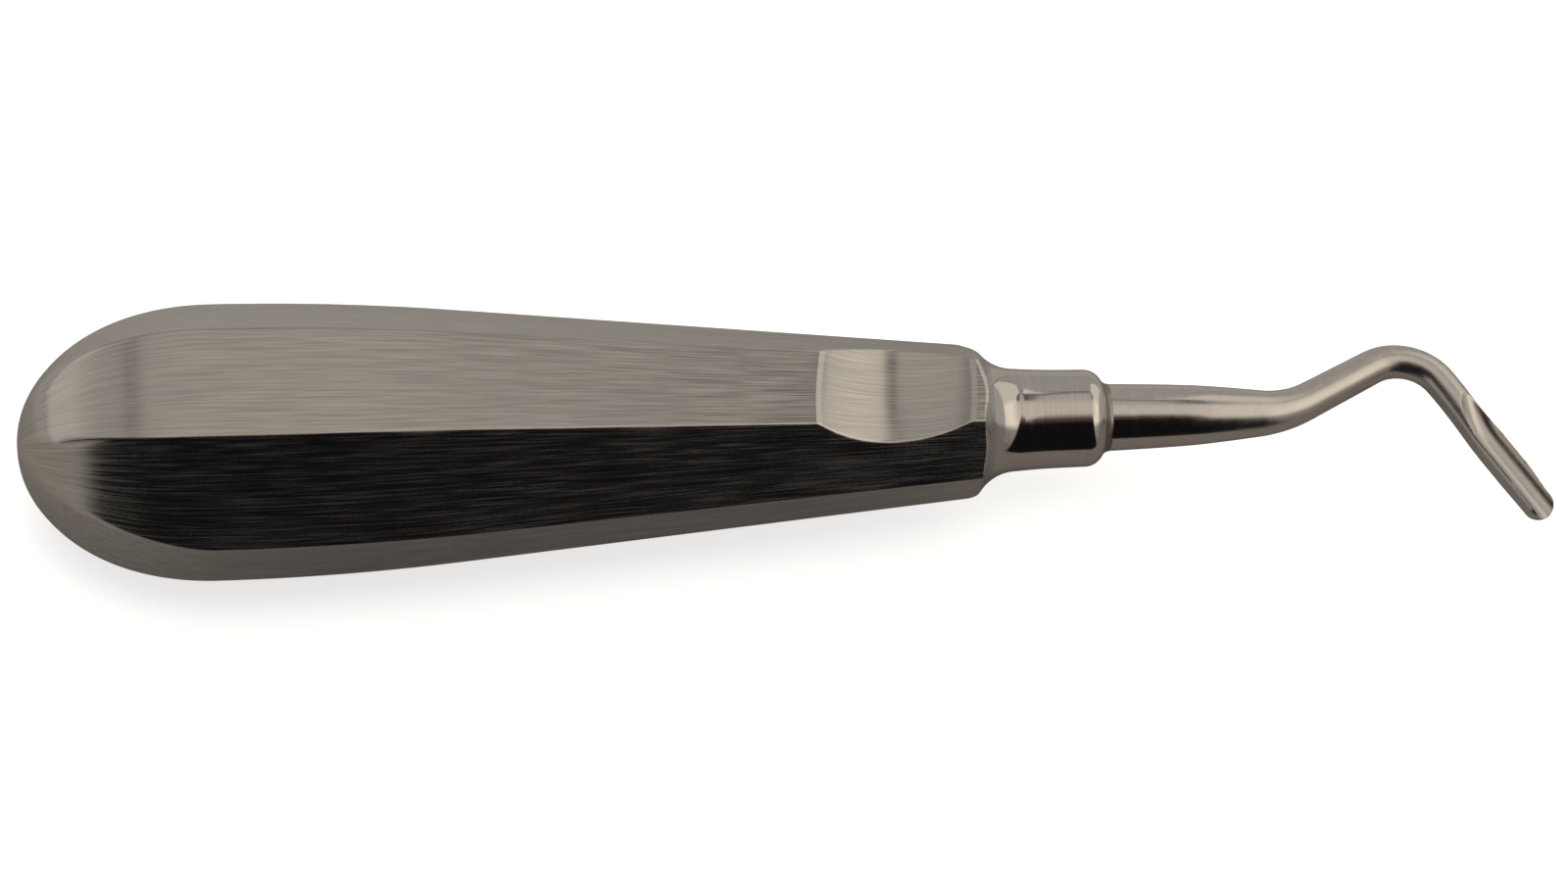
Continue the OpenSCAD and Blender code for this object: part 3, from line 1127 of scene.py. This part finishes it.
@dataclass
class Studio:
    """Pale floor, soft tent of light, and the camera.

    A turn is an angle in degrees from the front horizon over the top, a lean
    is the sideways slope of a direction, and a reach is its share along +X.
    """

    floor_gap: float = 0.05
    floor_size_m: float = 6.0
    camera_place: Triple = (-94.07, -237.61, 461.16)
    camera_back: Triple = (-0.12, -0.4523, 0.8838)
    camera_right: Triple = (0.9924, -0.079, 0.0943)
    focal_mm: float = 123.75
    sensor_mm: float = 36.0
    roof_front: Triple = (0.6, 0.54, 0.47)
    roof_rear: Triple = (0.45, 0.41, 0.37)
    roof_dim: Triple = (0.2, 0.19, 0.175)
    right_near: Triple = (0.97, 0.87, 0.74)
    right_rear: Triple = (0.69, 0.63, 0.55)
    right_far: Triple = (0.64, 0.59, 0.52)
    right_end: Triple = (0.4, 0.38, 0.345)
    wall_foot: Triple = (0.14, 0.125, 0.11)
    left_near: Triple = (0.4, 0.365, 0.33)
    left_far: Triple = (0.6, 0.555, 0.5)
    back_wall: Triple = (0.36, 0.34, 0.31)
    opening: Triple = (0.006, 0.006, 0.007)
    lip: Triple = (0.09, 0.05, 0.045)
    seam_colour: Triple = (0.1, 0.095, 0.09)
    floor_glow: float = 0.72
    floor_tone: Triple = (0.8, 0.8, 0.8)
    roof_turns: Point2 = (90.0, 120.0)
    dim_leans: Point2 = (0.28, 0.355)
    dim_turns: Point2 = (104.0, 114.0)
    right_turns: Point2 = (98.0, 116.0)
    right_leans: Point2 = (0.9, 3.5)
    step_turns: Point2 = (98.0, 112.0)
    left_leans: Point2 = (-0.5, -2.2)
    left_step: Point2 = (-0.48, -0.56)
    back_turns: Point2 = (127.0, 131.0)
    end_reach: Point2 = (0.83, 0.87)
    foot_reach: Point2 = (0.3, 0.4)
    foot_turns: Point2 = (56.0, 34.0)
    opening_reach: Point2 = (0.62, 0.56)
    opening_lean: float = 0.0045
    opening_rise: float = 40.0
    lip_turns: Point2 = (78.0, 60.0)
    opening_turns: Point2 = (62.0, 50.0)
    low_left_turns: Point2 = (66.0, 52.0)
    low_left_reach: Point2 = (-0.64, -0.9)
    lamp_size_m: float = 1.2
    lamp_power: float = 9.0
    lamp_colour: Triple = (1.0, 0.985, 0.96)
    lamp_place_m: Triple = (0.0, 0.1, 1.5)

    def camera(self) -> None:
        """Sets up the camera."""
        back = Vector(self.camera_back).normalized()
        right = Vector(self.camera_right)
        right = (right - back * right.dot(back)).normalized()
        up = back.cross(right)
        data = bpy.data.cameras.new("camera")
        data.lens = self.focal_mm
        data.sensor_width = self.sensor_mm
        data.clip_start, data.clip_end = 0.01, 50.0
        camera = place_object("camera", data)
        turn = Matrix((right, up, back)).transposed().to_4x4()
        camera.matrix_world = Matrix.Translation(Vector(self.camera_place) * MM) @ turn
        bpy.context.scene.camera = camera

    def plane(self, name: str, size_m: float, height_m: float) -> bpy.types.Object:
        """Lays a level square plane under the object.

        Args:
            name: Name of the plane.
            size_m: Length of its sides, in metres.
            height_m: Its height, in metres.

        Returns:
            The plane.
        """
        bm = bmesh.new()
        bmesh.ops.create_grid(bm, x_segments=1, y_segments=1, size=size_m / 2,
                              matrix=Matrix.Translation((0, 0, height_m)))
        mesh = bpy.data.meshes.new(name)
        bm.to_mesh(mesh)
        bm.free()
        plane = place_object(name, mesh)
        return plane

    def floor(self) -> None:
        """Lays the pale floor, and the grey board that only the metal sees: a card of painted shade that
        stands in for the shaded floor near the object in reflections.
        """
        ground = CAD_BOX[0][2] - self.floor_gap * MM
        floor = self.plane("floor", self.floor_size_m, ground)
        material, nodes = new_material("pale_floor")
        paths = nodes.add("ShaderNodeLightPath")
        seen = nodes.math("MAXIMUM", paths.outputs["Is Camera Ray"], paths.outputs["Is Glossy Ray"])
        seen = nodes.math("MAXIMUM", seen, paths.outputs["Is Transmission Ray"])
        glow = nodes.add("ShaderNodeEmission")
        nodes.link((1.0, 1.0, 1.0), glow.inputs["Color"])
        nodes.link(nodes.times(seen, self.floor_glow), glow.inputs["Strength"])
        cloth = nodes.add("ShaderNodeBsdfDiffuse")
        nodes.link(self.floor_tone, cloth.inputs["Color"])
        both = nodes.add("ShaderNodeAddShader")
        nodes.link(glow.outputs[0], both.inputs[0])
        nodes.link(cloth.outputs[0], both.inputs[1])
        nodes.finish("ShaderNodeOutputMaterial", both.outputs[0])
        floor.data.materials.append(material)

        # painted shade: a grey card that the metal reflects in place of the pale floor, which lies in
        # the object's shade
        board = self.plane("painted_shade_board", self.floor_size_m, ground + self.floor_gap / 4 * MM)
        board.visible_camera = False
        board.visible_diffuse = False
        board.visible_shadow = False
        board.visible_transmission = False
        shade_board_material, nodes = new_material("painted_shade_board")
        axes = nodes.add("ShaderNodeSeparateXYZ")
        nodes.link(nodes.add("ShaderNodeTexCoord").outputs["Object"], axes.inputs[0])
        # painted shadow: darker under the handle, lighter past the butt and behind the object, where
        # less shade falls
        tone = nodes.mix(nodes.ramp(axes.outputs[0], -0.03, 0.0), (0.2, 0.19, 0.185),
                         (0.27, 0.25, 0.235))
        tone = nodes.mix(nodes.ramp(axes.outputs[0], -0.07, -0.13), tone, (0.4, 0.385, 0.36))
        tone = nodes.mix(nodes.ramp(axes.outputs[1], 0.012, 0.04), tone, (0.54, 0.535, 0.52))
        # painted dark reflection: a near-black band on the board in front of the object
        far = nodes.minus(axes.outputs[1], nodes.times(axes.outputs[0], 0.17))
        side = nodes.plus(axes.outputs[0], nodes.times(axes.outputs[1], 0.7))
        dark = nodes.times(nodes.ramp(far, -0.042, -0.056),
                           nodes.ramp(axes.outputs[0], -0.2, -0.13))
        dark = nodes.times(dark, nodes.ramp(side, 0.01, -0.01))
        tone = nodes.mix(dark, tone, (0.01, 0.01, 0.01))
        cloth = nodes.add("ShaderNodeBsdfDiffuse")
        nodes.link(tone, cloth.inputs["Color"])
        nodes.finish("ShaderNodeOutputMaterial", cloth.outputs[0])
        board.data.materials.append(shade_board_material)

    def dome(self) -> None:
        """Lights the scene with a soft tent that is open towards the front."""
        world = bpy.data.worlds.new("soft_tent")
        bpy.context.scene.world = world
        world.use_nodes = True
        nodes = Nodes(world.node_tree)
        direction = nodes.add("ShaderNodeTexCoord").outputs["Generated"]
        axes = nodes.add("ShaderNodeSeparateXYZ")
        nodes.link(direction, axes.inputs[0])
        x, y, z = axes.outputs
        height = nodes.math("MAXIMUM", z, 0.001)
        turn = nodes.times(nodes.math("ARCTAN2", z, nodes.times(y, -1.0)),
                          180 / math.pi)
        lean = nodes.math("DIVIDE", x, height)

        # the roof, with brighter side walls past its two side seams
        tent = nodes.mix(nodes.ramp(turn, *self.roof_turns), self.roof_front, self.roof_rear)
        rear = nodes.math("MAXIMUM", nodes.minus(turn, 118.5), 0.0)
        slanted = nodes.plus(lean, nodes.times(rear, 0.012))
        dim = nodes.times(nodes.ramp(slanted, *self.dim_leans), nodes.ramp(turn, *self.dim_turns))
        tent = nodes.mix(dim, tent, self.roof_dim)
        right = nodes.mix(nodes.ramp(turn, *self.right_turns), self.right_near, self.right_rear)
        right = nodes.mix(nodes.ramp(lean, *self.right_leans), right, self.right_far)
        # the step to the right wall is sharp over the flats and soft in front of them
        step = nodes.minus(slanted, nodes.ramp(turn, *self.step_turns, 0.5, 0.4))
        step = nodes.times(step, nodes.ramp(turn, *self.step_turns, 0.12, 1.0))
        tent = nodes.mix(nodes.ramp(step, -0.03, 0.03), tent, right)
        left = nodes.mix(nodes.ramp(lean, *self.left_leans), self.left_near, self.left_far)
        tent = nodes.mix(nodes.ramp(lean, *self.left_step), tent, left)
        past = nodes.math("MAXIMUM", nodes.minus(x, 0.26), 0.0)
        curve = nodes.plus(nodes.times(past, 60.0), 20.0)
        curve = nodes.math("MINIMUM", nodes.times(past, 450.0), curve)
        rear_edge = nodes.minus(turn, curve)
        past = nodes.math("MAXIMUM", nodes.minus(-0.4, x), 0.0)
        rear_edge = nodes.minus(rear_edge, nodes.times(past, 450.0))
        tent = nodes.mix(nodes.ramp(rear_edge, *self.back_turns), tent, self.back_wall)
        tent = nodes.mix(nodes.ramp(x, *self.end_reach), tent, self.right_end)
        foot = nodes.times(nodes.ramp(x, *self.foot_reach), nodes.ramp(turn, *self.foot_turns, 0.0, 0.8))
        tent = nodes.mix(foot, tent, self.wall_foot)

        # thin dark seams between the roof and the walls; the right one stops short of the front
        right_seam = nodes.times(nodes.ramp(x, 0.255, 0.285, 0.0, 1.35),
                                 nodes.ramp(turn, 104.0, 110.0))
        for line, strength in (
            (self.seam(nodes, slanted, 0.38, 0.11), right_seam),
            (self.seam(nodes, lean, -0.5, 0.14), 0.55),
            (self.seam(nodes, rear_edge, 129.0, 2.0), 0.8),
            (self.seam(nodes, x, 0.84, 0.018), 0.7),
        ):
            seam = nodes.times(line, strength)
            tent = nodes.mix(nodes.times(seam, 0.7), tent, self.seam_colour)

        # the opening at the front, whose right edge leans, with a dim lip over it
        edge = nodes.plus(x, nodes.times(turn, self.opening_lean))
        inside = nodes.ramp(edge, *self.opening_reach)
        low_left = nodes.times(nodes.ramp(turn, *self.low_left_turns),
                               nodes.ramp(x, *self.low_left_reach))
        rise = nodes.math("MAXIMUM", nodes.times(x, -1.0), 0.0)
        turn = nodes.minus(turn, nodes.times(rise, self.opening_rise))
        below = nodes.times(inside, nodes.ramp(turn, *self.lip_turns))
        tent = nodes.mix(below, tent, self.lip)
        below = nodes.times(inside, nodes.ramp(turn, *self.opening_turns))
        tent = nodes.mix(below, tent, self.opening)
        tent = nodes.mix(low_left, tent, self.back_wall)

        background = nodes.add("ShaderNodeBackground")
        nodes.link(tent, background.inputs["Color"])
        background.inputs["Strength"].default_value = 1.0
        nodes.finish("ShaderNodeOutputWorld", background.outputs[0])

    @staticmethod
    def seam(nodes: Nodes, value: bpy.types.NodeSocket, middle: float,
             half: float) -> bpy.types.NodeSocket:
        """Gives 1 on a line of the tent and 0 away from it.

        Args:
            nodes: The world's tree.
            value: What the line is measured in.
            middle: Value on the line.
            half: Half its width.

        Returns:
            The mask's socket.
        """
        away = nodes.math("ABSOLUTE", nodes.minus(value, middle))
        return nodes.ramp(away, half * 0.3, half, 1.0, 0.0)

    def lamp(self) -> None:
        """Hangs a wide soft lamp that lifts the floor to a plain level."""
        data = bpy.data.lights.new("soft_lamp", type="AREA")
        data.shape = "SQUARE"
        data.size = self.lamp_size_m
        data.energy = self.lamp_power
        data.color = self.lamp_colour
        lamp = place_object("soft_lamp", data)
        lamp.location = self.lamp_place_m
        lamp.visible_glossy = False

    def build(self) -> None:
        """Sets up the whole studio."""
        self.camera()
        self.floor()
        self.dome()
        self.lamp()
        view = bpy.context.scene.view_settings
        view.view_transform = "Standard"


def main() -> None:
    """Builds the pieces in order and reports them."""
    logging.basicConfig(level=logging.INFO, format="%(name)s: %(message)s")
    Studio().build()
    Handle().build()
    Ferrule().build()
    Shank().build()


if __name__ == "__main__":
    main()
